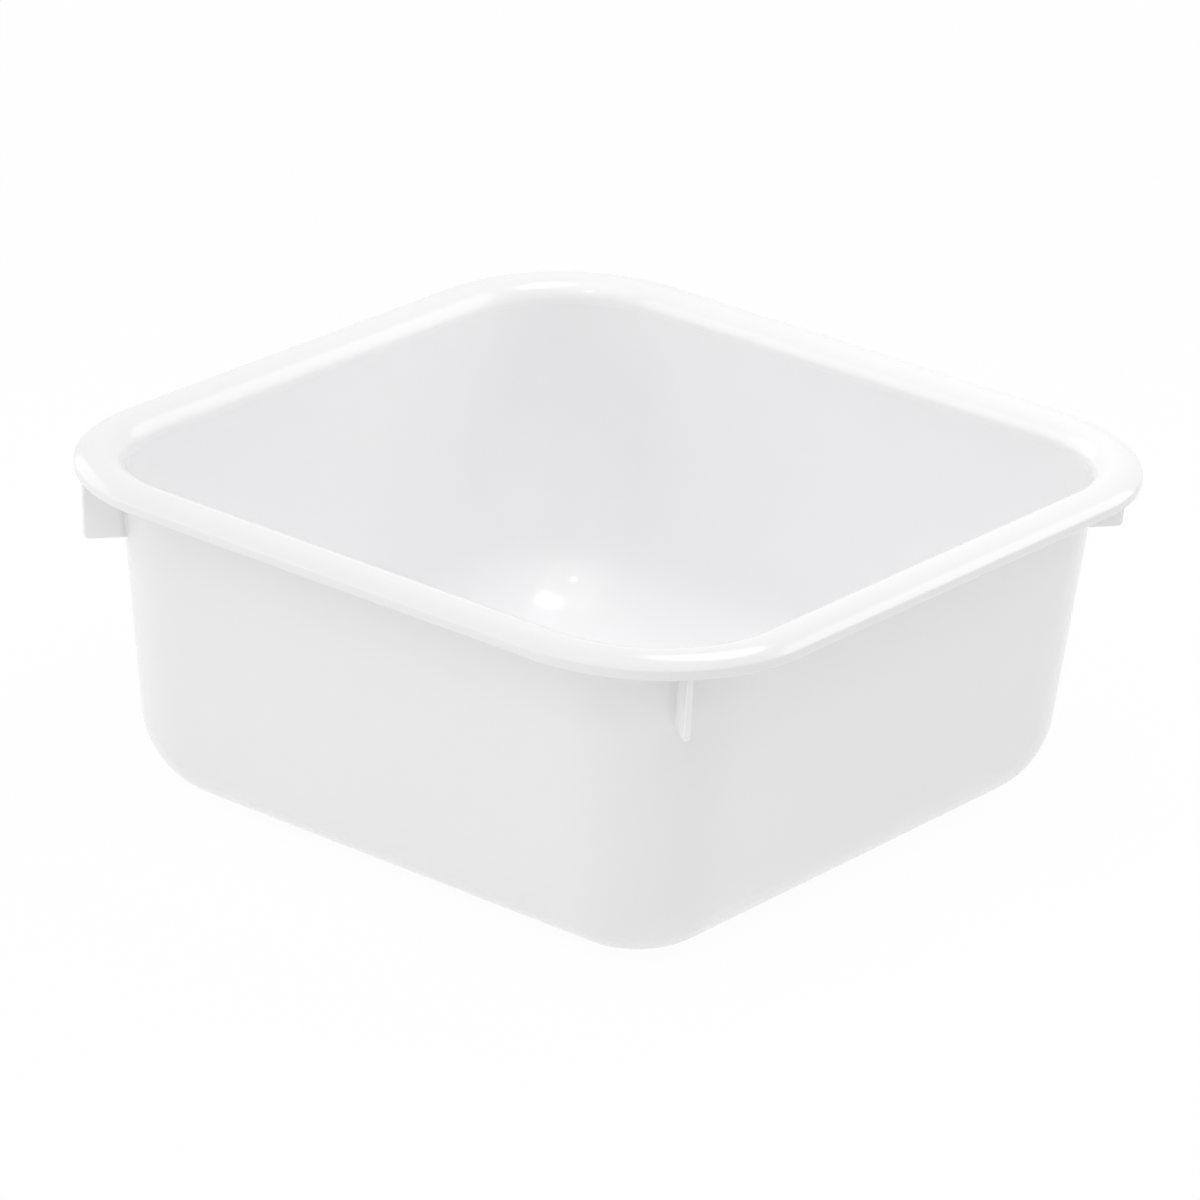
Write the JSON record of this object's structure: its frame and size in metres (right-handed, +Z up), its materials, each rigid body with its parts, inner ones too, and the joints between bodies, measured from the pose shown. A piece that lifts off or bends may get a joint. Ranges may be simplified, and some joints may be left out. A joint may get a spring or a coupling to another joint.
{
  "type": "square basin",
  "caption": "Square washing-up basin with rounded corners, flaring walls, a rolled rim open underneath and an upright rib under each corner.",
  "frame": {"origin": "the middle of the basin, on the plane of the ring that it stands on", "axes": "+Z up through the open top, +X and +Y square to two of the four equal sides"},
  "size_m": [0.31, 0.31, 0.132],
  "materials": {
    "white_plastic": "smooth semi-gloss white, as moulded"
  },
  "bodies": {
    "root": {"basin_bowl": "white_plastic", "rolled_rim": "white_plastic", "corner_rib_front": "white_plastic", "corner_rib_right": "white_plastic", "corner_rib_back": "white_plastic", "corner_rib_left": "white_plastic"}
  },
  "joints": []
}
